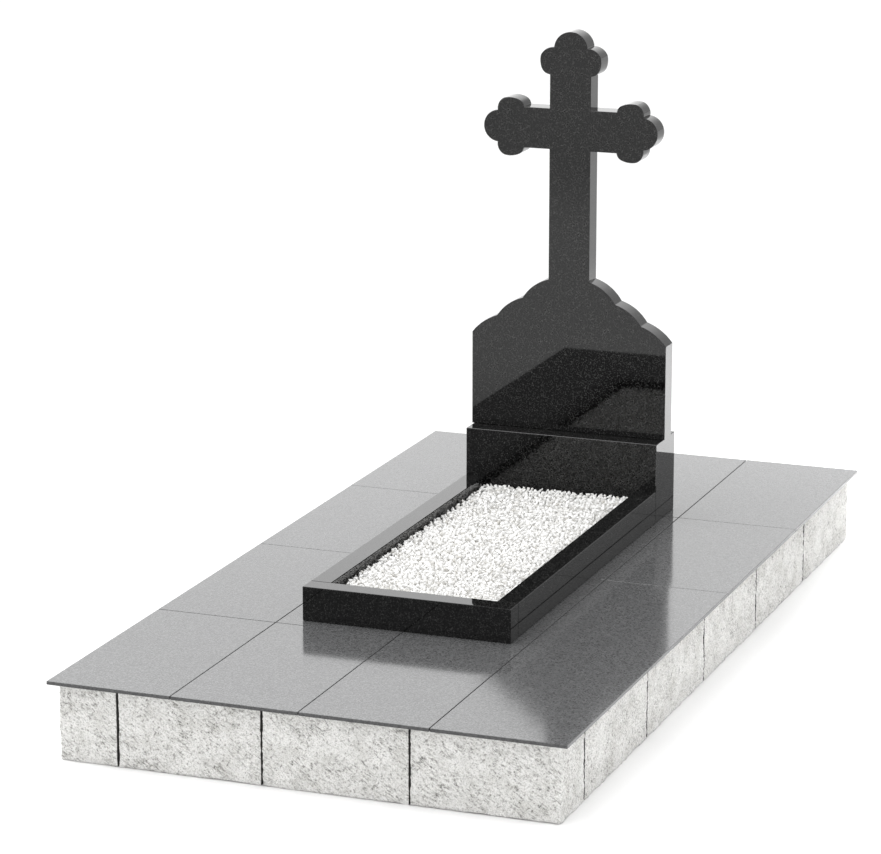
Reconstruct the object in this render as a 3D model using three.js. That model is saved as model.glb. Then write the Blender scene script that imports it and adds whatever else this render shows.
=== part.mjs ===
// Grave memorial: a black granite headstone cut to a budded cross, on its plinth, with a kerbed bed
// of marble chips, on a paving of thin slabs that a ring of split-faced blocks carries.
// Millimetres, +X to the right, +Y to the back, +Z up, origin at the bottom centre of the base.
import * as THREE from 'three';

// Clearance between pieces that touch, and the chamfer on every granite edge
const GAP = 0.3;
const CHAMFER = 2;

// Paving: four columns by four rows, with the outer slabs cut to fit
const PAVING_WIDTH = 1182;
const PAVING_DEPTH = 2342;
const PAVING_TOP = 182;
const SLAB_THICKNESS = 8;
const SLAB_JOINT = 2;
const COLUMN_PITCH = 294.5;
const LEFT_COLUMN_WIDTH = 291.5;
const ROW_PITCH = 583.5;
const FRONT_ROW_DEPTH = 566;
const SLABS_EACH_WAY = 4;

// Base ring of split-faced blocks, set in under the edge of the paving
const PAVING_OVERHANG = 21;
const BLOCK_JOINT = 5;
const END_ROW_THICKNESS = 152;
const SIDE_ROW_THICKNESS = 134;
const BLOCKS_IN_END_ROW = 3;
const BLOCKS_IN_SIDE_ROW = 5;
const RELIEF_DEPTH = 6;
const RELIEF_CELL = 62;
const ARRIS_SETBACK = 3;

// Kerb and plinth: standard sawn bars and a standard block
const MEMORIAL_OFFSET_X = 2;
const MEMORIAL_WIDTH = 500;
const KERB_HEIGHT = 80;
const KERB_THICKNESS = 50;
const KERB_FRONT_Y = -570;
const PLINTH_FRONT_Y = 490;
const PLINTH_DEPTH = 150;
const PLINTH_HEIGHT = 200;

// Bed of marble chips inside the kerb
const CHIP_BED_HEIGHT = 64;
const CHIP_SIZE = 20;
const CHIP_BED_CELL = 50;

// Headstone, measured up from its own underside and out from its centre line
const STELE_THICKNESS = 55;
const STELE_FRONT_Y = 543;
const STELE_HALF_WIDTH = 254;
const CHEEK_HEIGHT = 236;
const SHAFT_HALF_WIDTH = 53;
const SHOULDER_SCALLOPS = [
  { x: 188, z: 283, rise: 6.1 },
  { x: 121, z: 332.5, rise: 7.7 },
  { x: SHAFT_HALF_WIDTH, z: 384, rise: 8.2 },
];
const ARM_AXIS_HEIGHT = 761.5;
const ARM_HALF_HEIGHT = 50.5;
// Each bud has two squarish side lobes and a round end lobe; a side lobe is three arcs, whose ends
// are given out along the arm and up from its axis
const ARM_BUD = {
  start: 120,
  sideLobe: [{ x: 131.5, z: 67, rise: 2.6 }, { x: 171, z: 71, rise: 3.4 }],
  join: { x: 188.5, z: 39.5, rise: 6.2 },
  endRise: 36,
};
const TOP_BUD = {
  start: 896,
  sideLobe: [{ x: 75.3, z: 912, rise: 4.1 }, { x: 77.2, z: 942.4, rise: 2.2 }],
  join: { x: 43, z: 963.5, rise: 6 },
  endRise: 39,
};
const ARC_SEGMENTS = 6;

const BLACK_GRANITE = { color: 0x232326, roughness: 0.12, metalness: 0 };
const GREY_SLAB = { color: 0x9b9c9e, roughness: 0.3, metalness: 0 };
const SPLIT_STONE = { color: 0xd6d4cf, roughness: 0.95, metalness: 0 };
const MARBLE_CHIPS = { color: 0xeceae4, roughness: 0.7, metalness: 0 };
const CONCRETE = { color: 0xa8a5a0, roughness: 0.95, metalness: 0 };

function makeMesh(name, geometry, finish) {
  const mesh = new THREE.Mesh(geometry, new THREE.MeshStandardMaterial(finish));
  mesh.name = name;
  return mesh;
}

// A box between two corners, with plain sawn edges
function plainBox(name, low, high, finish) {
  const size = new THREE.Vector3().subVectors(high, low);
  const mesh = makeMesh(name, new THREE.BoxGeometry(size.x, size.y, size.z), finish);
  mesh.position.addVectors(low, high).multiplyScalar(0.5);
  return mesh;
}

// A sawn and polished granite block between two corners, every edge chamfered
function chamferedBlock(name, low, high) {
  const size = new THREE.Vector3().subVectors(high, low);
  const outline = new THREE.Shape();
  outline.moveTo(CHAMFER, 0);
  outline.lineTo(size.x - CHAMFER, 0);
  outline.lineTo(size.x, CHAMFER);
  outline.lineTo(size.x, size.y - CHAMFER);
  outline.lineTo(size.x - CHAMFER, size.y);
  outline.lineTo(CHAMFER, size.y);
  outline.lineTo(0, size.y - CHAMFER);
  outline.lineTo(0, CHAMFER);
  const mesh = makeMesh(name, chamferedExtrusion(outline, size.z), BLACK_GRANITE);
  mesh.position.set(low.x, low.y, low.z + CHAMFER);
  return mesh;
}

// An outline extruded to a thickness, its two faces edged with a chamfer that stays inside the outline
function chamferedExtrusion(outline, thickness) {
  return new THREE.ExtrudeGeometry(outline, {
    depth: thickness - 2 * CHAMFER,
    bevelEnabled: true,
    bevelThickness: CHAMFER,
    bevelSize: CHAMFER,
    bevelOffset: -CHAMFER,
    bevelSegments: 1,
    curveSegments: ARC_SEGMENTS,
  });
}

// A gently uneven value between 0 and 1, the same for the same place and seed
function unevenness(u, v, seed) {
  const coarse = Math.sin(u / 41 + seed * 1.7) * Math.cos(v / 33 - seed * 2.3);
  const fine = Math.sin(u / 17 - v / 23 + seed * 4.1);
  return 0.5 + 0.3 * coarse + 0.2 * fine;
}

// The paving slabs, row 1 at the front and column 1 at the left

function slabEdges(total, first, pitch) {
  const edges = [-total / 2];
  for (let i = 0; i < SLABS_EACH_WAY - 1; i += 1) {
    edges.push(-total / 2 + first + i * pitch);
  }
  edges.push(total / 2);
  return edges;
}

// The two sides of slab number i, each inner side drawn back by half a joint
function slabSpan(edges, i) {
  const low = edges[i] + (i > 0 ? SLAB_JOINT / 2 : 0);
  const high = edges[i + 1] - (i < SLABS_EACH_WAY - 1 ? SLAB_JOINT / 2 : 0);
  return [low, high];
}

function makePaving() {
  const paving = new THREE.Group();
  const columns = slabEdges(PAVING_WIDTH, LEFT_COLUMN_WIDTH, COLUMN_PITCH);
  const rows = slabEdges(PAVING_DEPTH, FRONT_ROW_DEPTH, ROW_PITCH);
  for (let row = 0; row < SLABS_EACH_WAY; row += 1) {
    for (let column = 0; column < SLABS_EACH_WAY; column += 1) {
      const [left, right] = slabSpan(columns, column);
      const [front, back] = slabSpan(rows, row);
      const low = new THREE.Vector3(left, front, PAVING_TOP - SLAB_THICKNESS);
      const high = new THREE.Vector3(right, back, PAVING_TOP);
      paving.add(plainBox(`paving_slab_r${row + 1}_c${column + 1}`, low, high, GREY_SLAB));
    }
  }
  return paving;
}

// The base: four rows of blocks that chase each other round the ring, each row's last block
// turning the corner, so that block shows a split end as well as a split face

const BASE_HEIGHT = PAVING_TOP - SLAB_THICKNESS - GAP;
const RING_HALF_WIDTH = PAVING_WIDTH / 2 - PAVING_OVERHANG;
const RING_HALF_DEPTH = PAVING_DEPTH / 2 - PAVING_OVERHANG;

// How far the split face lies inside its plane: uneven all over, and drawn back at the arrises
function splitDepth(along, up, halfLength, seed) {
  const atArris = Math.abs(along) > halfLength - 1 || Math.abs(up) > BASE_HEIGHT / 2 - 1;
  return RELIEF_DEPTH * unevenness(along, up, seed) * 0.8 + (atArris ? ARRIS_SETBACK : 0);
}

// One block, its split face towards -Y, and its split end, where it has one, towards +X
function splitFacedBlock(length, thickness, turnsCorner, seed) {
  const across = turnsCorner ? Math.round(thickness / RELIEF_CELL) : 1;
  const geometry = new THREE.BoxGeometry(
    length, thickness, BASE_HEIGHT,
    Math.round(length / RELIEF_CELL), across, Math.round(BASE_HEIGHT / RELIEF_CELL),
  );
  const position = geometry.attributes.position;
  const point = new THREE.Vector3();
  for (let i = 0; i < position.count; i += 1) {
    point.fromBufferAttribute(position, i);
    const { x, y, z } = point;
    if (y < -thickness / 2 + 1) {
      point.y += splitDepth(x, z, length / 2, seed);
    }
    if (turnsCorner && x > length / 2 - 1) {
      point.x -= splitDepth(y, z, thickness / 2, seed + 0.5);
    }
    position.setXYZ(i, point.x, point.y, point.z);
  }
  return geometry;
}

// One row seen from outside, laid from left to right, then turned to its side of the ring
function makeBlockRow(side, quarterTurns, count, halfLength, distance, thickness, firstThickness) {
  const row = new THREE.Group();
  const start = -halfLength + firstThickness + BLOCK_JOINT;
  const pitch = (halfLength - start + BLOCK_JOINT) / count;
  const length = pitch - BLOCK_JOINT;
  for (let i = 0; i < count; i += 1) {
    const seed = quarterTurns * 7 + i;
    const geometry = splitFacedBlock(length, thickness, i === count - 1, seed);
    const block = makeMesh(`base_block_${side}_${i + 1}`, geometry, SPLIT_STONE);
    block.position.set(start + i * pitch + length / 2, -distance + thickness / 2, BASE_HEIGHT / 2);
    row.add(block);
  }
  row.rotation.z = quarterTurns * Math.PI / 2;
  return row;
}

function makeBase() {
  const base = new THREE.Group();
  const endRow = [BLOCKS_IN_END_ROW, RING_HALF_WIDTH, RING_HALF_DEPTH, END_ROW_THICKNESS,
    SIDE_ROW_THICKNESS];
  const sideRow = [BLOCKS_IN_SIDE_ROW, RING_HALF_DEPTH, RING_HALF_WIDTH, SIDE_ROW_THICKNESS,
    END_ROW_THICKNESS];
  base.add(makeBlockRow('front', 0, ...endRow));
  base.add(makeBlockRow('right', 1, ...sideRow));
  base.add(makeBlockRow('back', 2, ...endRow));
  base.add(makeBlockRow('left', 3, ...sideRow));
  const inside = new THREE.Vector3(
    RING_HALF_WIDTH - SIDE_ROW_THICKNESS - GAP,
    RING_HALF_DEPTH - END_ROW_THICKNESS - GAP,
    BASE_HEIGHT,
  );
  base.add(plainBox('base_bed', new THREE.Vector3(-inside.x, -inside.y, 0), inside, CONCRETE));
  return base;
}

// The kerb: a full-width front bar with two side bars butted behind it, up to the plinth

function makeKerb() {
  const kerb = new THREE.Group();
  const half = MEMORIAL_WIDTH / 2;
  const sideFront = KERB_FRONT_Y + KERB_THICKNESS + GAP;
  const sideBack = PLINTH_FRONT_Y - GAP;
  kerb.add(chamferedBlock(
    'kerb_front',
    new THREE.Vector3(-half, KERB_FRONT_Y, 0),
    new THREE.Vector3(half, KERB_FRONT_Y + KERB_THICKNESS, KERB_HEIGHT),
  ));
  kerb.add(chamferedBlock(
    'kerb_left',
    new THREE.Vector3(-half, sideFront, 0),
    new THREE.Vector3(-half + KERB_THICKNESS, sideBack, KERB_HEIGHT),
  ));
  kerb.add(chamferedBlock(
    'kerb_right',
    new THREE.Vector3(half - KERB_THICKNESS, sideFront, 0),
    new THREE.Vector3(half, sideBack, KERB_HEIGHT),
  ));
  return kerb;
}

// The chips fill the kerb as one bed with an uneven top
function makeChipBed() {
  const width = MEMORIAL_WIDTH - 2 * KERB_THICKNESS - 2 * GAP;
  const front = KERB_FRONT_Y + KERB_THICKNESS + GAP;
  const depth = PLINTH_FRONT_Y - GAP - front;
  const geometry = new THREE.BoxGeometry(
    width, depth, CHIP_BED_HEIGHT,
    Math.round(width / CHIP_BED_CELL), Math.round(depth / CHIP_BED_CELL), 1,
  );
  const position = geometry.attributes.position;
  for (let i = 0; i < position.count; i += 1) {
    if (position.getZ(i) > 0) {
      const dip = unevenness(position.getX(i) * 1.6, position.getY(i) * 1.6, 3) * CHIP_SIZE / 3;
      position.setZ(i, position.getZ(i) - dip);
    }
  }
  const bed = makeMesh('chip_bed', geometry, MARBLE_CHIPS);
  bed.position.set(0, front + depth / 2, CHIP_BED_HEIGHT / 2);
  return bed;
}

function makePlinth() {
  return chamferedBlock(
    'plinth',
    new THREE.Vector3(-MEMORIAL_WIDTH / 2, PLINTH_FRONT_Y, 0),
    new THREE.Vector3(MEMORIAL_WIDTH / 2, PLINTH_FRONT_Y + PLINTH_DEPTH, PLINTH_HEIGHT),
  );
}

// The headstone

// Draws a round stretch to (x, z) that stands out from its chord by rise, to the outline's right
function bulgeTo(outline, x, z, rise) {
  const start = outline.currentPoint.clone();
  const end = new THREE.Vector2(x, z);
  const halfChord = start.distanceTo(end) / 2;
  const radius = (halfChord * halfChord + rise * rise) / (2 * rise);
  const along = end.clone().sub(start).normalize();
  const outward = new THREE.Vector2(along.y, -along.x);
  const centre = start.clone().add(end).multiplyScalar(0.5);
  centre.addScaledVector(outward, rise - radius);
  const fromAngle = Math.atan2(start.y - centre.y, start.x - centre.x);
  const toAngle = Math.atan2(end.y - centre.y, end.x - centre.x);
  outline.absarc(centre.x, centre.y, radius, fromAngle, toAngle, false);
}

// The corners of the right half, from the foot up to the last join below the very top.
// A rise says that the stretch leading to that corner is round.
function rightHalfOutline() {
  const armLow = ARM_AXIS_HEIGHT - ARM_HALF_HEIGHT;
  const armHigh = ARM_AXIS_HEIGHT + ARM_HALF_HEIGHT;
  const { start, sideLobe: [first, second], join, endRise } = ARM_BUD;
  return [
    { x: STELE_HALF_WIDTH, z: 0 },
    { x: STELE_HALF_WIDTH, z: CHEEK_HEIGHT },
    ...SHOULDER_SCALLOPS,
    { x: SHAFT_HALF_WIDTH, z: armLow },
    { x: start, z: armLow },
    { x: first.x, z: ARM_AXIS_HEIGHT - first.z, rise: first.rise },
    { x: second.x, z: ARM_AXIS_HEIGHT - second.z, rise: second.rise },
    { x: join.x, z: ARM_AXIS_HEIGHT - join.z, rise: join.rise },
    { x: join.x, z: ARM_AXIS_HEIGHT + join.z, rise: endRise },
    { x: second.x, z: ARM_AXIS_HEIGHT + second.z, rise: join.rise },
    { x: first.x, z: ARM_AXIS_HEIGHT + first.z, rise: second.rise },
    { x: start, z: armHigh, rise: first.rise },
    { x: SHAFT_HALF_WIDTH, z: armHigh },
    { x: SHAFT_HALF_WIDTH, z: TOP_BUD.start },
    ...TOP_BUD.sideLobe,
    TOP_BUD.join,
  ];
}

// The same corners again on the left, going down, each rise now leading to the next corner
function mirroredOutline(right) {
  return right.map((corner, i) => {
    const above = right[i + 1];
    return { x: -corner.x, z: corner.z, rise: above ? above.rise : TOP_BUD.endRise };
  }).reverse();
}

function makeStele() {
  const right = rightHalfOutline();
  const corners = [...right, ...mirroredOutline(right)];
  const outline = new THREE.Shape();
  outline.moveTo(corners[0].x, corners[0].z);
  for (const { x, z, rise } of corners.slice(1)) {
    if (rise) {
      bulgeTo(outline, x, z, rise);
    } else {
      outline.lineTo(x, z);
    }
  }
  const stele = makeMesh('stele', chamferedExtrusion(outline, STELE_THICKNESS), BLACK_GRANITE);
  stele.rotation.x = Math.PI / 2;
  stele.position.set(0, STELE_FRONT_Y + STELE_THICKNESS - CHAMFER, PLINTH_HEIGHT + GAP);
  return stele;
}

const memorial = new THREE.Group();
memorial.position.set(MEMORIAL_OFFSET_X, 0, PAVING_TOP + GAP);
memorial.add(makeKerb(), makeChipBed(), makePlinth(), makeStele());

const headstone = new THREE.Group();
headstone.add(makeBase(), makePaving(), memorial);

export default headstone;
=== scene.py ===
import math
import random

import bpy
import numpy as np
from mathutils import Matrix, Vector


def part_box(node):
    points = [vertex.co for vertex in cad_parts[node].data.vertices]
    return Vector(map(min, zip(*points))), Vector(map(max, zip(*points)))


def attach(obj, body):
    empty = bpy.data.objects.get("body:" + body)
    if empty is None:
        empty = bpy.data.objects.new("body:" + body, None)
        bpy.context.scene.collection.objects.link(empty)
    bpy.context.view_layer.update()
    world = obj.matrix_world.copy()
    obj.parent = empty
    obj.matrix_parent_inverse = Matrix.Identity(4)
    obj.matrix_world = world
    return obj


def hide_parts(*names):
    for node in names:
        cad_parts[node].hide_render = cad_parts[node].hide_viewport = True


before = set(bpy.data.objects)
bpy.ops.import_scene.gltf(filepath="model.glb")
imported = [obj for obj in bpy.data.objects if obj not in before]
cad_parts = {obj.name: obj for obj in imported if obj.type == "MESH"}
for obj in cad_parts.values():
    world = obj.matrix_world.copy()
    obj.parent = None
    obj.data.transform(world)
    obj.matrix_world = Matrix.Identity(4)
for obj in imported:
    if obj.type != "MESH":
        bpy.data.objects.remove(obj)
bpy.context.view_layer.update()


# Camera: a long lens, to the right of the grave's foot and above the cross, looking down on it.
# It stands where the photograph was taken from.
LOOK_DOWN = math.radians(14.15)
LOOK_LEFT = math.radians(20.82)
bpy.ops.object.camera_add(
    location=(2.86828, -7.88732, 2.63717), rotation=(math.pi / 2 - LOOK_DOWN, 0, LOOK_LEFT)
)
camera = bpy.context.object
camera.data.sensor_width = 36
camera.data.lens = 150
bpy.context.scene.camera = camera


# Floor: a plain white studio floor, large enough to fill the picture, matt and evenly pale.
# It isn't part of the memorial, and lies just clear of its underside.
FLOOR_RADIUS = 40
FLOOR_LEVEL = -0.0005
bpy.ops.mesh.primitive_circle_add(
    vertices=64, radius=FLOOR_RADIUS, fill_type="NGON", location=(0, 0, FLOOR_LEVEL)
)
floor = bpy.context.object
floor.name = "studio_floor"
floor_paint = bpy.data.materials.new("white_floor")
floor_paint.use_nodes = True
floor_shader = floor_paint.node_tree.nodes["Principled BSDF"]
floor_shader.inputs["Base Color"].default_value = (0.87, 0.87, 0.87, 1)
floor_shader.inputs["Roughness"].default_value = 0.7
floor.data.materials.append(floor_paint)


# Light: a white room, brightest at the back on the left and dimmest at the back on the right, a
# broad soft light from the left and a softbox overhead. Four lamps only brighten the floor that
# the polished granite mirrors: in front of the memorial, farther out, behind it and beside it.
bpy.context.scene.view_settings.view_transform = "Standard"
room = bpy.data.worlds.new("white_room")
room.use_nodes = True
room_nodes = room.node_tree.nodes
room_links = room.node_tree.links
direction = room_nodes.new("ShaderNodeTexCoord").outputs["Generated"]


# How bright one side of the room is: 1 outside its outer bound, and its own strength within its
# inner one. The bounds are about the cosines of the angle from its middle.
def room_side(middle, outer, inner, strength):
    facing = room_nodes.new("ShaderNodeVectorMath")
    facing.operation = "DOT_PRODUCT"
    facing.inputs[1].default_value = middle
    room_links.new(direction, facing.inputs[0])
    light = room_nodes.new("ShaderNodeMapRange")
    light.interpolation_type = "SMOOTHSTEP"
    light.inputs["From Min"].default_value = outer
    light.inputs["From Max"].default_value = inner
    light.inputs["To Min"].default_value = 1.0
    light.inputs["To Max"].default_value = strength
    room_links.new(facing.outputs["Value"], light.inputs["Value"])
    return light.outputs["Result"]


room_light = room_nodes.new("ShaderNodeMath")
room_light.operation = "MULTIPLY"
room_links.new(room_side((-0.55, 0.85, 0.0), 0.5, 1.0, 1.72), room_light.inputs[0])
room_links.new(room_side((0.355, 0.935, 0.0), 0.86, 0.96, 0.72), room_light.inputs[1])
room_links.new(room_light.outputs["Value"], room_nodes["Background"].inputs["Strength"])
room_nodes["Background"].inputs["Color"].default_value = (1, 1, 1, 1)
bpy.context.scene.world = room

bpy.ops.object.light_add(type="SUN", rotation=(0, math.radians(-45), 0))
left_light = bpy.context.object
left_light.name = "left_light"
left_light.data.angle = math.radians(30)
left_light.data.energy = 0.6

# each lamp's name, place, lean in degrees, width and depth in metres, watts and spread in degrees
LAMPS = [
    ("overhead_softbox", (-1.3, -0.4, 4.1), -18, 2.2, 2.2, 58, 180),
    ("floor_lamp_front", (-0.95, -2.85, 1.8), 0, 3.2, 3.2, 20, 60),
    ("floor_lamp_far", (-2.4, -8.2, 4.0), 0, 5.0, 6.0, 36, 90),
    ("floor_lamp_behind", (1.15, 2.5, 1.5), 0, 1.8, 2.4, 31, 70),
    ("floor_lamp_right", (1.4, -0.3, 1.5), 0, 0.9, 2.8, 16, 55),
]
for name, place, lean, width, depth, watts, spread in LAMPS:
    bpy.ops.object.light_add(type="AREA", location=place, rotation=(0, math.radians(lean), 0))
    lamp = bpy.context.object
    lamp.name = name
    lamp.data.shape = "RECTANGLE"
    lamp.data.size = width
    lamp.data.size_y = depth
    lamp.data.energy = watts
    lamp.data.spread = math.radians(spread)
    lamp.visible_camera = False


# Concrete bed: lean concrete cast inside the ring of blocks, which the thin slabs lie on. It can't
# be seen from above, so it stays a plain cast block with worn arrises and a float-finished top.
BED_ARRIS = 0.006


# Opens a piece alone in edit mode, picking by its points, its edges or its faces
def start_edit(piece, select_by=(True, True, True)):
    bpy.ops.object.select_all(action="DESELECT")
    bpy.context.view_layer.objects.active = piece
    piece.select_set(True)
    bpy.context.tool_settings.mesh_select_mode = select_by
    bpy.ops.object.mode_set(mode="EDIT")


def end_edit():
    bpy.ops.object.mode_set(mode="OBJECT")


# A cube between two corners, with its place and size in its mesh
def add_block(name, low, high):
    bpy.ops.object.select_all(action="DESELECT")
    middle = [(a + b) / 2 for a, b in zip(low, high)]
    size = [b - a for a, b in zip(low, high)]
    bpy.ops.mesh.primitive_cube_add(size=1, location=middle, scale=size)
    block = bpy.context.object
    block.name = name
    block.data.name = name
    bpy.ops.object.transform_apply(location=True, rotation=True, scale=True)
    return block


# Takes the sharpness off every edge of a block: one flat chamfer, or more steps for a worn one
def chamfer_block(block, width, steps=1):
    start_edit(block)
    bpy.ops.mesh.select_all(action="SELECT")
    bpy.ops.mesh.bevel(offset=width, segments=steps, affect="EDGES")
    end_edit()


# Puts a piece on the one body of the memorial, in place of its CAD node
def set_in_place(piece, finish, node):
    piece.data.materials.clear()
    piece.data.materials.append(finish)
    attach(piece, "root")
    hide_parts(node)


# A node in a finish: sockets are joined, and other values are set on the node's own inputs
def add_node(finish, kind, settings=None, **inputs):
    tree = finish.node_tree
    made = tree.nodes.new("ShaderNode" + kind)
    for key, value in (settings or {}).items():
        setattr(made, key, value)
    for key, value in inputs.items():
        socket = made.inputs[key.replace("_", " ")]
        if isinstance(value, bpy.types.NodeSocket):
            tree.links.new(value, socket)
        else:
            socket.default_value = value
    return made


# A new finish with its shader, and the place on the piece that its patterns follow
def new_finish(name):
    finish = bpy.data.materials.new(name)
    finish.use_nodes = True
    shader = finish.node_tree.nodes["Principled BSDF"]
    place = add_node(finish, "TexCoord").outputs["Object"]
    return finish, shader, place


def join(finish, source, socket):
    finish.node_tree.links.new(source, socket)


# A noise pattern on the piece, scale in waves per metre
def noise(finish, place, scale, detail, roughness=0.5):
    return add_node(
        finish, "TexNoise", Vector=place, Scale=scale, Detail=detail, Roughness=roughness
    ).outputs["Fac"]


# Colour stops along a value, as (position, (red, green, blue)) pairs
def colour_ramp(finish, value, stops):
    ramp = add_node(finish, "ValToRGB", Fac=value)
    elements = ramp.color_ramp.elements
    while len(elements) < len(stops):
        elements.new(0.5)
    for element, (position, colour) in zip(elements, stops):
        element.position = position
        element.color = (*colour, 1)
    return ramp.outputs["Color"]


# A bump that stands up to a height in metres
def raise_bump(finish, shader, pattern, height):
    bump = add_node(finish, "Bump", Height=pattern, Distance=height)
    join(finish, bump.outputs["Normal"], shader.inputs["Normal"])


concrete, concrete_shader, concrete_place = new_finish("cast_concrete")
patches = noise(concrete, concrete_place, 9, 6)
join(
    concrete,
    colour_ramp(concrete, patches, [(0.3, (0.30, 0.29, 0.27)), (0.7, (0.42, 0.41, 0.38))]),
    concrete_shader.inputs["Base Color"],
)
raise_bump(concrete, concrete_shader, noise(concrete, concrete_place, 220, 4), 0.0008)
concrete_shader.inputs["Roughness"].default_value = 0.92

bed = add_block("concrete_bed", *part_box("base_bed"))
chamfer_block(bed, BED_ARRIS, steps=2)
set_in_place(bed, concrete, "base_bed")


# Base blocks: sixteen blocks of pale limestone in a ring, each with its outer face split rough,
# and laid dry with open joints. The last block of each side turns the corner, so its end is split.
split_stone, split_shader, split_place = new_finish("split_stone")


# Darkens one colour by another, all of it or a part
def darken(finish, colour, shade, amount):
    mix = add_node(finish, "Mix", {"data_type": "RGBA", "blend_type": "MULTIPLY"})
    # a Mix node keeps its colour sockets after those for numbers and vectors
    factor, first, second, mixed = mix.inputs[0], mix.inputs[6], mix.inputs[7], mix.outputs[2]
    if isinstance(amount, bpy.types.NodeSocket):
        join(finish, amount, factor)
    else:
        factor.default_value = amount
    join(finish, colour, first)
    join(finish, shade, second)
    return mixed


cloudy = noise(split_stone, split_place, 20, 4, 0.55)
stone_tint = colour_ramp(
    split_stone, cloudy,
    [(0.34, (0.68, 0.675, 0.655)), (0.5, (0.76, 0.755, 0.74)), (0.68, (0.82, 0.815, 0.80))],
)
specks = colour_ramp(
    split_stone, noise(split_stone, split_place, 300, 3, 0.7),
    [(0.36, (0.52, 0.515, 0.50)), (0.46, (0.90, 0.90, 0.895)), (0.58, (1.0, 1.0, 1.0))],
)
speckled = darken(split_stone, stone_tint, specks, 0.9)
# painted shadows of the small ledges that the stone breaks in, sloping down to the right of its
# front
slanted = add_node(
    split_stone, "Mapping", {"vector_type": "TEXTURE"}, Vector=split_place,
    Rotation=(0.0, math.radians(33), 0.0), Scale=(3.0, 1.0, 1.0),
).outputs["Vector"]
ledge_shadows = colour_ramp(
    split_stone, noise(split_stone, slanted, 250, 4, 0.7),
    [(0.34, (0.26, 0.257, 0.25)), (0.45, (0.80, 0.797, 0.79)), (0.56, (1.0, 1.0, 1.0))],
)
# more of these painted ledge shadows here, fewer there
ledge_shadow_share = add_node(
    split_stone, "MapRange", Value=noise(split_stone, split_place, 13, 3),
    From_Min=0.40, From_Max=0.60, To_Min=0.32, To_Max=1.0,
).outputs["Result"]
ledge_shadowed = darken(split_stone, speckled, ledge_shadows, ledge_shadow_share)
# dark seams, each broken off after a short way
seams = colour_ramp(
    split_stone, noise(split_stone, slanted, 42, 4, 0.6),
    [(0.484, (1.0, 1.0, 1.0)), (0.5, (0.26, 0.257, 0.25)), (0.516, (1.0, 1.0, 1.0))],
)
broken = add_node(
    split_stone, "MapRange", Value=noise(split_stone, split_place, 30, 2),
    From_Min=0.54, From_Max=0.62,
).outputs["Result"]
seamed = darken(split_stone, ledge_shadowed, seams, broken)
# painted shade in the hollows of the split faces
hollows = add_node(split_stone, "Attribute", {"attribute_name": "hollow"}).outputs["Fac"]
painted_hollow_shade = colour_ramp(
    split_stone, hollows, [(0.10, (0.42, 0.415, 0.40)), (0.34, (1.0, 1.0, 1.0))]
)
hollow_shaded = darken(split_stone, seamed, painted_hollow_shade, 0.8)
# the faces in the open joints are darkened, partly with soil and partly as painted shade
soil_and_shade = add_node(split_stone, "Attribute", {"attribute_name": "soil_and_shade"}).outputs["Fac"]
joint_soil_and_shade = colour_ramp(split_stone, soil_and_shade, [(0.78, (1.0, 1.0, 1.0)), (0.98, (0.12, 0.115, 0.11))])
join(split_stone, darken(split_stone, hollow_shaded, joint_soil_and_shade, 1.0), split_shader.inputs["Base Color"])
raise_bump(split_stone, split_shader, noise(split_stone, split_place, 380, 4, 0.65), 0.0012)
split_shader.inputs["Roughness"].default_value = 0.9

# how far apart a split face's points are, and how near to a plane a point counts as on it
GRAIN = 0.0026
ON_PLANE = 1e-5
# how far in from its edges a split face is chipped, and how far in it gets no painted hollow shade
# at all
CHIPPED_WIDTH = 0.005
UNSHADED_WIDTH = 0.006


# Writes one number on every point of a mesh, for its finish to read
def mark_points(mesh, name, values):
    mesh.attributes.new(name, "FLOAT", "POINT")
    mesh.attributes[name].data.foreach_set("value", values)


# Sorts out which points of a block are on a split face, near its arrises or on a sawn face
def sort_points(block, length, thickness, height, turns_corner):
    split = block.vertex_groups.new(name="split")
    arris = block.vertex_groups.new(name="arris")
    arris_share = np.zeros(len(block.data.vertices), np.float32)
    in_joint = np.zeros(len(block.data.vertices), np.float32)
    for vertex in block.data.vertices:
        x, y, z = vertex.co
        at_joint = abs(x) > length / 2 - ON_PLANE and (x < 0 or not turns_corner)
        in_joint[vertex.index] = at_joint or y > thickness / 2 - ON_PLANE
        on_face = y < -thickness / 2 + ON_PLANE
        on_end = turns_corner and x > length / 2 - ON_PLANE
        if on_face or on_end:
            split.add([vertex.index], 1, "REPLACE")
            to_side = length / 2 - abs(x) if on_face else thickness / 2 - abs(y)
            # the split face and the split end run into each other, with no arris between
            if turns_corner and ((on_face and x > 0) or (on_end and y < 0)):
                to_side = length
            inside = min(to_side, height / 2 - abs(z))
            if inside < CHIPPED_WIDTH:
                arris.add([vertex.index], 1 - inside / CHIPPED_WIDTH, "REPLACE")
            arris_share[vertex.index] = min(1, max(0, 2 - inside / UNSHADED_WIDTH))
    mark_points(block.data, "arris_share", arris_share)
    # the joint and back faces are marked for their darkening: soil and painted shade
    mark_points(block.data, "soil_and_shade", in_joint)


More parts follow.
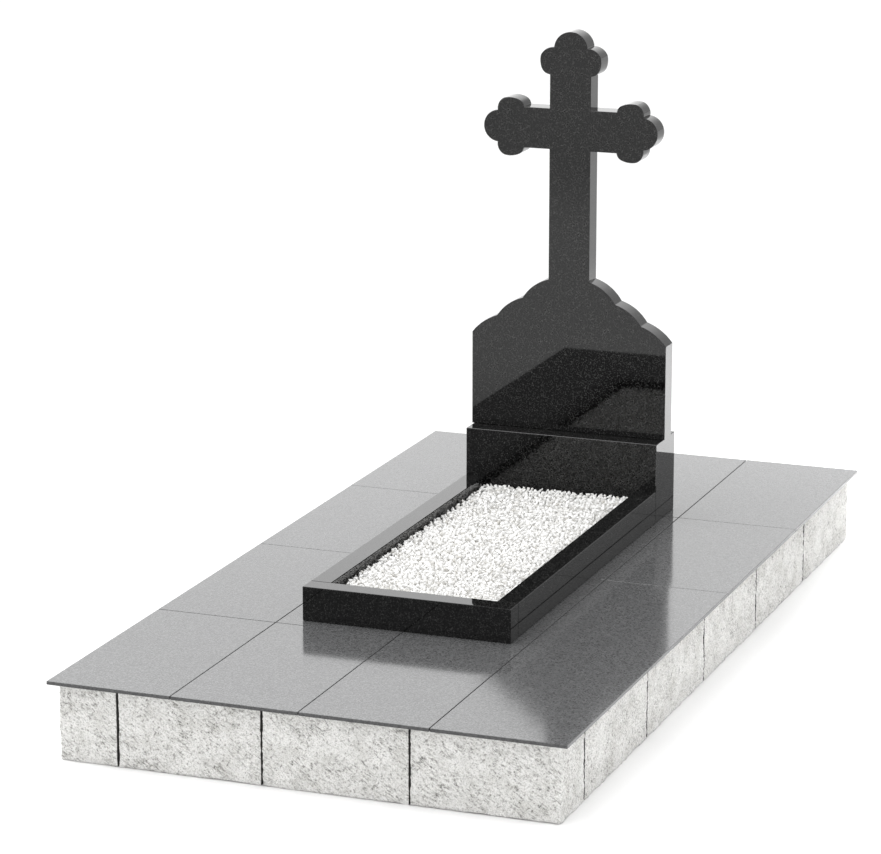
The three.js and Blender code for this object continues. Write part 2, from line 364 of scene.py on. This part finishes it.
# One sawn block with a grid on its outer face, standing round the origin and facing -Y
def add_split_block(length, thickness, height, turns_corner):
    bpy.ops.object.select_all(action="DESELECT")
    bpy.ops.mesh.primitive_grid_add(
        x_subdivisions=round(length / GRAIN), y_subdivisions=round(height / GRAIN), size=1,
        location=(0, -thickness / 2, 0), rotation=(math.radians(90), 0, 0),
    )
    block = bpy.context.object
    block.scale = (length, height, 1)
    bpy.ops.object.transform_apply(location=True, rotation=True, scale=True)
    start_edit(block)
    bpy.ops.mesh.select_all(action="DESELECT")
    bpy.ops.mesh.select_non_manifold()
    bpy.ops.mesh.extrude_region_move(TRANSFORM_OT_translate={"value": (0, thickness, 0)})
    bpy.ops.mesh.edge_face_add()
    if turns_corner:
        # the edges that run back along the end are cut as finely as the face
        bpy.ops.mesh.select_all(action="DESELECT")
        end_edit()
        for edge in block.data.edges:
            a, b = (block.data.vertices[i].co for i in edge.vertices)
            at_end = min(a.x, b.x) > length / 2 - ON_PLANE
            edge.select = at_end and abs(a.y - b.y) > thickness / 2
        start_edit(block, select_by=(False, True, False))
        bpy.ops.mesh.subdivide(number_cuts=round(thickness / GRAIN) - 1)
    bpy.ops.mesh.select_all(action="SELECT")
    bpy.ops.mesh.normals_make_consistent(inside=False)
    end_edit()
    sort_points(block, length, thickness, height, turns_corner)
    block["length"] = length
    block["thickness"] = thickness
    return block


# A rough pattern that a split face takes: the size of its lumps, and how many finer ones they hold
def relief_pattern(name, size, finer):
    pattern = bpy.data.textures.new(name, "CLOUDS")
    pattern.noise_scale = size
    pattern.noise_depth = finer
    return pattern


# from the broad swell to the grain: the pattern, its whole height, the share of that height which
# lies below the sawn face, and the points that it moves
SPLIT_RELIEF = [
    (relief_pattern("swell", 0.075, 1), 0.0036, 0.5, "split"),
    (relief_pattern("break", 0.017, 2), 0.0040, 0.5, "split"),
    (relief_pattern("grain", 0.0056, 2), 0.0032, 0.5, "split"),
    (relief_pattern("chipped", 0.012, 2), 0.0030, 1.0, "arris"),
]
# how many rings of points round each one count as the stone around it, and the height from the
# bottom of a full hollow to the top of a full ridge
HOLLOW_REACH = 8
HOLLOW_DEPTH = 0.0018


# The same value of every point or edge of a mesh, one to a row
def read_all(items, field, width, kind):
    values = np.empty(len(items) * width, kind)
    items.foreach_get(field, values)
    return values.reshape(-1, width)


# Writes on every point how high it lies: 0.5 level with the stone around it, and less in a hollow
# the split stone's finish darkens the low points as painted shade
def mark_hollows(block):
    mesh = block.data
    points = read_all(mesh.vertices, "co", 3, np.float32)
    normals = read_all(mesh.vertices, "normal", 3, np.float32)
    a, b = read_all(mesh.edges, "vertices", 2, np.int32).T
    # the long edges of the sawn faces don't count
    short = np.linalg.norm(points[a] - points[b], axis=1) < 4 * GRAIN
    a, b = a[short], b[short]
    count = len(points)
    neighbours = np.maximum(np.bincount(a, minlength=count) + np.bincount(b, minlength=count), 1)
    smooth = points.copy()
    for _ in range(HOLLOW_REACH):
        drawn = np.zeros_like(smooth)
        for axis in range(3):
            drawn[:, axis] = np.bincount(a, smooth[b, axis], count)
            drawn[:, axis] += np.bincount(b, smooth[a, axis], count)
        smooth = 0.5 * smooth + 0.5 * drawn / neighbours[:, None]
    sunk = ((smooth - points) * normals).sum(1) / HOLLOW_DEPTH
    arris_share = read_all(mesh.attributes["arris_share"].data, "value", 1, np.float32)[:, 0]
    mesh.attributes.remove(mesh.attributes["arris_share"])
    mark_points(mesh, "hollow", np.clip(0.5 - sunk * (1 - arris_share), 0, 1).astype(np.float32))


# A copy of a block, turned to its side of the ring and set in place, then split by its own relief
def lay_split_block(pattern_block, node, quarter_turns, joint_fill):
    bpy.ops.object.select_all(action="DESELECT")
    bpy.context.view_layer.objects.active = pattern_block
    pattern_block.select_set(True)
    bpy.ops.object.duplicate(linked=False)
    block = bpy.context.object
    low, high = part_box(node)
    block.name = node.replace("base", "split")
    block.data.name = block.name
    length, thickness = pattern_block["length"], pattern_block["thickness"]
    # a block is placed by its back and its near end, the flat faces of its CAD node
    turn = quarter_turns * math.pi / 2
    back = [(0, high.y), (low.x, 0), (0, low.y), (high.x, 0)][quarter_turns]
    near_end = [(low.x, 0), (0, low.y), (high.x, 0), (0, high.y)][quarter_turns]
    along = (math.cos(turn), math.sin(turn))
    inward = (-math.sin(turn), math.cos(turn))
    place = [
        back[i] - inward[i] * thickness / 2 + near_end[i] + along[i] * (length / 2 - joint_fill)
        for i in (0, 1)
    ]
    block.location = (place[0], place[1], (low.z + high.z) / 2)
    block.rotation_euler = (0, 0, turn)
    bpy.context.view_layer.update()
    for pattern, height, share_below, group in SPLIT_RELIEF:
        relief = block.modifiers.new(pattern.name, "DISPLACE")
        relief.texture = pattern
        relief.texture_coords = "GLOBAL"
        relief.direction = "NORMAL"
        relief.strength = height
        relief.mid_level = share_below
        relief.vertex_group = group
        bpy.ops.object.modifier_apply(modifier=relief.name)
    bpy.ops.object.transform_apply(location=True, rotation=True, scale=True)
    # the sawn bed and top of a block stay flat
    for vertex in block.data.vertices:
        vertex.co.z = min(max(vertex.co.z, low.z), block_height)
    mark_hollows(block)
    set_in_place(block, split_stone, node)


block_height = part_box("base_bed")[1].z
# each side's name, blocks and thickness, and how far a block's sawn end stands into its joint
RING = [
    ("front", 3, 0.152, 0.0012),
    ("right", 5, 0.134, 0.0),
    ("back", 3, 0.152, 0.0012),
    ("left", 5, 0.134, 0.0),
]
pattern_blocks = {}
for quarter_turns, (side, count, thickness, joint_fill) in enumerate(RING):
    # the front and back share one pair of blocks, a plain one and a corner, and the sides another
    axis = quarter_turns % 2
    if axis not in pattern_blocks:
        low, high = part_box(f"base_block_{side}_1")
        length = high[axis] - low[axis]
        pattern_blocks[axis] = (
            add_split_block(length + 2 * joint_fill, thickness, block_height, False),
            add_split_block(length + joint_fill, thickness, block_height, True),
        )
    plain_block, corner_block = pattern_blocks[axis]
    for i in range(1, count + 1):
        pattern_block = corner_block if i == count else plain_block
        lay_split_block(pattern_block, f"base_block_{side}_{i}", quarter_turns, joint_fill)
for plain_block, corner_block in pattern_blocks.values():
    bpy.data.objects.remove(plain_block)
    bpy.data.objects.remove(corner_block)


# Paving: sixteen thin slabs of grey stone, machine polished and laid in four rows with open joints.
# Each has a hair's breadth of chamfer round its edges, and the cut slabs lie along the outside.
SLAB_ROWS = 4
SLAB_COLUMNS = 4
SLAB_CHAMFER = 0.0006
# how far below a slab's top its sawn edges start to darken, and where they are darkest
EDGE_DARKENING_STARTS = 0.0003
EDGE_DARKENING_FULL = 0.0009
grey_stone, grey_shader, grey_place = new_finish("polished_grey")


# A value of its own for every grain of a stone, the grains so many to the metre
def grains(finish, place, scale):
    cells = add_node(finish, "TexVoronoi", Vector=place, Scale=scale)
    return add_node(finish, "SeparateColor", Color=cells.outputs["Color"]).outputs["Red"]


grey_tint = colour_ramp(
    grey_stone, grains(grey_stone, grey_place, 330),
    [(0.0, (0.062, 0.063, 0.064)), (0.5, (0.100, 0.101, 0.103)), (1.0, (0.150, 0.151, 0.153))],
)
# the sawn edges are darker than the tops: partly their duller unpolished tone, partly painted shade
slab_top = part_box("paving_slab_r1_c1")[1].z
up = add_node(grey_stone, "SeparateXYZ", Vector=grey_place).outputs["Z"]
edge_shade = add_node(
    grey_stone, "MapRange", Value=up,
    From_Min=slab_top - EDGE_DARKENING_FULL, From_Max=slab_top - EDGE_DARKENING_STARTS,
    To_Min=0.42, To_Max=1.0,
).outputs["Result"]
edge_tint = colour_ramp(grey_stone, edge_shade, [(0.0, (0, 0, 0)), (1.0, (1.0, 1.0, 1.0))])
join(grey_stone, darken(grey_stone, grey_tint, edge_tint, 1.0), grey_shader.inputs["Base Color"])
grey_gloss = add_node(
    grey_stone, "MapRange", Value=noise(grey_stone, grey_place, 60, 3), To_Min=0.09, To_Max=0.13
)
join(grey_stone, grey_gloss.outputs["Result"], grey_shader.inputs["Roughness"])

for row in range(1, SLAB_ROWS + 1):
    for column in range(1, SLAB_COLUMNS + 1):
        node = f"paving_slab_r{row}_c{column}"
        slab = add_block(f"slab_r{row}_c{column}", *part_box(node))
        chamfer_block(slab, SLAB_CHAMFER)
        set_in_place(slab, grey_stone, node)


# Kerb: three sawn bars of black granite, polished on every side, the front bar running right
# across and the side bars butted behind it, up to the plinth. All arrises have a small chamfer.
ARRIS = 0.0012
black_granite, black_shader, black_place = new_finish("black_granite")
black_tint = colour_ramp(
    black_granite, grains(black_granite, black_place, 470),
    [
        (0.0, (0.0008, 0.0008, 0.0008)), (0.5, (0.0030, 0.0030, 0.0030)),
        (0.8, (0.013, 0.013, 0.013)), (1.0, (0.050, 0.050, 0.049)),
    ],
)
cloudy_black = colour_ramp(
    black_granite, noise(black_granite, black_place, 70, 3, 0.6),
    [(0.34, (0.50, 0.50, 0.50)), (0.60, (1.0, 1.0, 1.0))],
)
join(
    black_granite, darken(black_granite, black_tint, cloudy_black, 1.0),
    black_shader.inputs["Base Color"],
)
black_shader.inputs["Roughness"].default_value = 0.02
black_shader.inputs["Specular IOR Level"].default_value = 0.37

for side in ("front", "left", "right"):
    bar = add_block(f"kerb_bar_{side}", *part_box(f"kerb_{side}"))
    chamfer_block(bar, ARRIS)
    set_in_place(bar, black_granite, f"kerb_{side}")


# Plinth: one heavier block of the same granite across the head of the kerb, polished all round,
# with the same small chamfer.
plinth = add_block("plinth_block", *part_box("plinth"))
chamfer_block(plinth, ARRIS)
set_in_place(plinth, black_granite, "plinth")


# Headstone: one slab of black granite, sawn by wire to a budded cross on scalloped shoulders,
# polished on its faces and its edges, with a small chamfer round both faces.
STELE_ARRIS = 0.0008
STELE_HALF_WIDTH = 0.254
SHAFT_HALF_WIDTH = 0.053
ARM_AXIS = 0.7615
ARM_HALF_HEIGHT = 0.0505
# The outline's corners on the right, from the foot up. A third number says that the stretch that
# leads there is round, and how far it stands out from a straight line.
OUTLINE = [
    (STELE_HALF_WIDTH, 0.236, 0),
    (0.188, 0.283, 0.0061),
    (0.121, 0.3325, 0.0077),
    (SHAFT_HALF_WIDTH, 0.384, 0.0082),
    (SHAFT_HALF_WIDTH, ARM_AXIS - ARM_HALF_HEIGHT, 0),
    (0.120, ARM_AXIS - ARM_HALF_HEIGHT, 0),
    (0.1315, ARM_AXIS - 0.067, 0.0026),
    (0.171, ARM_AXIS - 0.071, 0.0034),
    (0.1885, ARM_AXIS - 0.0395, 0.0062),
    (0.1885, ARM_AXIS + 0.0395, 0.036),
    (0.171, ARM_AXIS + 0.071, 0.0062),
    (0.1315, ARM_AXIS + 0.067, 0.0034),
    (0.120, ARM_AXIS + ARM_HALF_HEIGHT, 0.0026),
    (SHAFT_HALF_WIDTH, ARM_AXIS + ARM_HALF_HEIGHT, 0),
    (SHAFT_HALF_WIDTH, 0.896, 0),
    (0.0753, 0.912, 0.0041),
    (0.0772, 0.9424, 0.0022),
    (0.043, 0.9635, 0.006),
]
# the rise of the round top, from the last corner across to the one on the left
TOP_RISE = 0.03899
ARC_STEP = math.radians(5)
SMOOTH_BELOW = math.radians(14)


# The centre of a round stretch from one corner to the next, and the angle that it turns through
def round_stretch(start, end, rise):
    along = (end[0] - start[0], end[1] - start[1])
    chord = math.hypot(*along)
    radius = (chord * chord / 4 + rise * rise) / (2 * rise)
    outward = (along[1] / chord, -along[0] / chord)
    centre = [(start[i] + end[i]) / 2 + outward[i] * (rise - radius) for i in (0, 1)]
    half_angle = math.atan2(chord / 2, radius - rise)
    return centre, 2 * half_angle


stele_low, stele_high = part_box("stele")
stele_middle = (stele_low.x + stele_high.x) / 2
bpy.ops.object.select_all(action="DESELECT")
bpy.ops.mesh.primitive_plane_add(size=0.01, location=(0, 0, 0))
stele = bpy.context.object
stele.name = "cross_headstone"
stele.data.name = "cross_headstone"
# the plane is drawn together to one point, which is led round the right half of the outline
start_edit(stele, select_by=(True, False, False))
bpy.ops.mesh.select_all(action="SELECT")
bpy.ops.mesh.merge(type="CENTER")
bpy.ops.mesh.extrude_region_move(TRANSFORM_OT_translate={"value": (STELE_HALF_WIDTH, 0, 0)})
reached = (STELE_HALF_WIDTH, 0)
for x, z, rise in OUTLINE:
    if rise:
        centre, angle = round_stretch(reached, (x, z), rise)
        bpy.ops.mesh.spin(
            steps=round(angle / ARC_STEP), angle=angle, center=(centre[0], 0, centre[1]),
            axis=(0, 1, 0),
        )
    else:
        step = (x - reached[0], 0, z - reached[1])
        bpy.ops.mesh.extrude_region_move(TRANSFORM_OT_translate={"value": step})
    reached = (x, z)
centre, angle = round_stretch(reached, (-reached[0], reached[1]), TOP_RISE)
bpy.ops.mesh.spin(
    steps=round(angle / 2 / ARC_STEP), angle=angle / 2, center=(0, 0, centre[1]), axis=(0, 1, 0)
)
end_edit()
other_half = stele.modifiers.new("other_half", "MIRROR")
other_half.use_axis[0] = True
other_half.use_clip = True
other_half.merge_threshold = 0.0002
bpy.ops.object.modifier_apply(modifier=other_half.name)
# the outline is filled and drawn out to the slab's thickness
start_edit(stele)
bpy.ops.mesh.select_all(action="SELECT")
bpy.ops.mesh.remove_doubles(threshold=0.00005)
bpy.ops.mesh.select_all(action="SELECT")
bpy.ops.mesh.edge_face_add()
bpy.ops.mesh.extrude_region_move(
    TRANSFORM_OT_translate={"value": (0, stele_high.y - stele_low.y, 0)}
)
bpy.ops.mesh.select_all(action="SELECT")
bpy.ops.mesh.normals_make_consistent(inside=False)
bpy.ops.mesh.select_all(action="DESELECT")
end_edit()
for edge in stele.data.edges:
    a, b = (stele.data.vertices[i].co for i in edge.vertices)
    edge.select = abs(a.y - b.y) < ON_PLANE
start_edit(stele, select_by=(False, True, False))
bpy.ops.mesh.bevel(offset=STELE_ARRIS, segments=1, affect="EDGES", clamp_overlap=False)
end_edit()
stele.location = (stele_middle, stele_low.y, stele_low.z)
bpy.ops.object.transform_apply(location=True, rotation=True, scale=True)
bpy.ops.object.shade_smooth_by_angle(angle=SMOOTH_BELOW)
set_in_place(stele, black_granite, "stele")


# Marble chips: crushed white marble, 8 to 14 mm, shovelled loose into the kerb. They lie as they
# fell, two or three deep over the hidden bulk, each turned its own way.
CHIP_SHAPES = 12
CHIP_COUNT = 9900
SMALLEST_CHIP = 0.0082
LARGEST_CHIP = 0.0144
LOOSE_DEPTH = 0.025
# how far the chips stay clear of the kerb, and of the heap's full height
KERB_GAP = 0.0006
TOP_GAP = 0.0003
# a chip rolls to the lowest of so many places, and sinks in between those that it lands on
PLACES_TRIED = 7
SUNK_SHARE = 0.75
# the part of a chip's size and height that the next one can lie on
SPREAD_SHARE = 0.4
HEIGHT_SHARE = 0.55
# the heap's surface is kept as heights in square cells, and a chip lands on the five by five there
CELL = 0.002
LANDING_CELLS = 2
white_marble, marble_shader, marble_place = new_finish("white_marble")
chip_tint = add_node(white_marble, "Attribute", {"attribute_name": "tint"}).outputs["Fac"]
chip_colour = colour_ramp(
    white_marble, chip_tint,
    [
        (0.0, (0.60, 0.585, 0.55)), (0.04, (0.82, 0.81, 0.785)),
        (0.15, (0.93, 0.927, 0.915)), (1.0, (0.97, 0.97, 0.965)),
    ],
)
veins = colour_ramp(
    white_marble, noise(white_marble, marble_place, 90, 4, 0.6),
    [(0.30, (0.90, 0.895, 0.885)), (0.5, (1.0, 1.0, 1.0))],
)
join(white_marble, darken(white_marble, chip_colour, veins, 1.0), marble_shader.inputs["Base Color"])
raise_bump(white_marble, marble_shader, noise(white_marble, marble_place, 700, 3), 0.0004)
marble_shader.inputs["Roughness"].default_value = 0.6

# the broken shapes, each one unit long, which every chip is a copy of
chip_points = []
chip_faces = []
for shape in range(CHIP_SHAPES):
    bpy.ops.object.select_all(action="DESELECT")
    bpy.ops.mesh.primitive_ico_sphere_add(subdivisions=1, radius=0.5)
    chip = bpy.context.object
    start_edit(chip)
    bpy.ops.mesh.select_all(action="SELECT")
    bpy.ops.transform.vertex_random(offset=0.2, uniform=0.7, normal=0.2, seed=shape)
    bpy.ops.transform.resize(value=(1.0, 0.62 + 0.04 * (shape % 6), 0.52 + 0.05 * (shape % 4)))
    bpy.ops.mesh.convex_hull()
    bpy.ops.mesh.quads_convert_to_tris()
    end_edit()
    points = np.array([v.co for v in chip.data.vertices])
    points /= np.abs(points).max()
    chip_points.append(points / 2)
    chip_faces.append(np.array([p.vertices[:] for p in chip.data.polygons]))
    bpy.data.objects.remove(chip)

heap_low, heap_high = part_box("chip_bed")
bulk_top = heap_high.z - LOOSE_DEPTH
cells_across = int((heap_high.x - heap_low.x) / CELL) + 1
cells_deep = int((heap_high.y - heap_low.y) / CELL) + 1
surface = np.full((cells_across, cells_deep), bulk_top)


# The heap's surface round one cell, so many cells out from it each way
def surface_round(i, j, out):
    return surface[max(i - out, 0):i + out + 1, max(j - out, 0):j + out + 1]


random.seed(7)
all_points = []
all_faces = []
all_tints = []
points_laid = 0
for _ in range(CHIP_COUNT):
    size = random.uniform(SMALLEST_CHIP, LARGEST_CHIP)
    shape = random.randrange(CHIP_SHAPES)
    turn = np.array([random.gauss(0, 1) for _ in range(4)])
    w, x, y, z = turn / np.linalg.norm(turn)
    rotation = np.array([
        [1 - 2 * (y * y + z * z), 2 * (x * y - w * z), 2 * (x * z + w * y)],
        [2 * (x * y + w * z), 1 - 2 * (x * x + z * z), 2 * (y * z - w * x)],
        [2 * (x * z - w * y), 2 * (y * z + w * x), 1 - 2 * (x * x + y * y)],
    ])
    points = chip_points[shape] @ rotation.T * size
    reach = np.abs(points[:, :2]).max(0) + KERB_GAP
    lowest = None
    for _ in range(PLACES_TRIED):
        place_x = random.uniform(heap_low.x + reach[0], heap_high.x - reach[0])
        place_y = random.uniform(heap_low.y + reach[1], heap_high.y - reach[1])
        i = int((place_x - heap_low.x) / CELL)
        j = int((place_y - heap_low.y) / CELL)
        here = surface_round(i, j, LANDING_CELLS).max()
        if lowest is None or here < lowest[0]:
            lowest = (here, place_x, place_y, i, j)
    here, place_x, place_y, i, j = lowest
    rest = here - points[:, 2].min() * SUNK_SHARE
    rest = min(rest, heap_high.z - points[:, 2].max() - TOP_GAP)
    covered = surface_round(i, j, max(int(size * SPREAD_SHARE / CELL), 1))
    np.maximum(covered, rest + points[:, 2].max() * HEIGHT_SHARE, out=covered)
    all_points.append(points + (place_x, place_y, rest))
    all_faces.append(chip_faces[shape] + points_laid)
    all_tints.append(np.full(len(points), random.random()))
    points_laid += len(points)

chips_mesh = bpy.data.meshes.new("marble_chips")
chips_mesh.from_pydata(np.vstack(all_points).tolist(), [], np.vstack(all_faces).tolist())
chips = bpy.data.objects.new("marble_chips", chips_mesh)
bpy.context.scene.collection.objects.link(chips)
mark_points(chips_mesh, "tint", np.concatenate(all_tints).astype(np.float32))
set_in_place(chips, white_marble, "chip_bed")

# the hidden bulk: one solid with an uneven top, which shows only between the lowest chips
BULK_RISE = 0.003
BULK_CUTS = 30
BULK_UNEVENNESS = 0.003
EDGE_WIDTH = 0.001
bulk_height = bulk_top + BULK_RISE
bulk = add_block("chip_bulk", heap_low, (heap_high.x, heap_high.y, bulk_height))
start_edit(bulk)
bpy.ops.mesh.select_all(action="SELECT")
bpy.ops.mesh.subdivide(number_cuts=BULK_CUTS)
bpy.ops.mesh.select_all(action="DESELECT")
end_edit()
for vertex in bulk.data.vertices:
    x, y, z = vertex.co
    from_side = min(x - heap_low.x, heap_high.x - x, y - heap_low.y, heap_high.y - y)
    vertex.select = from_side > EDGE_WIDTH and z > bulk_height - EDGE_WIDTH
start_edit(bulk, select_by=(True, False, False))
bpy.ops.transform.vertex_random(offset=BULK_UNEVENNESS, uniform=0.5, normal=0.8, seed=5)
end_edit()
set_in_place(bulk, white_marble, "chip_bed")
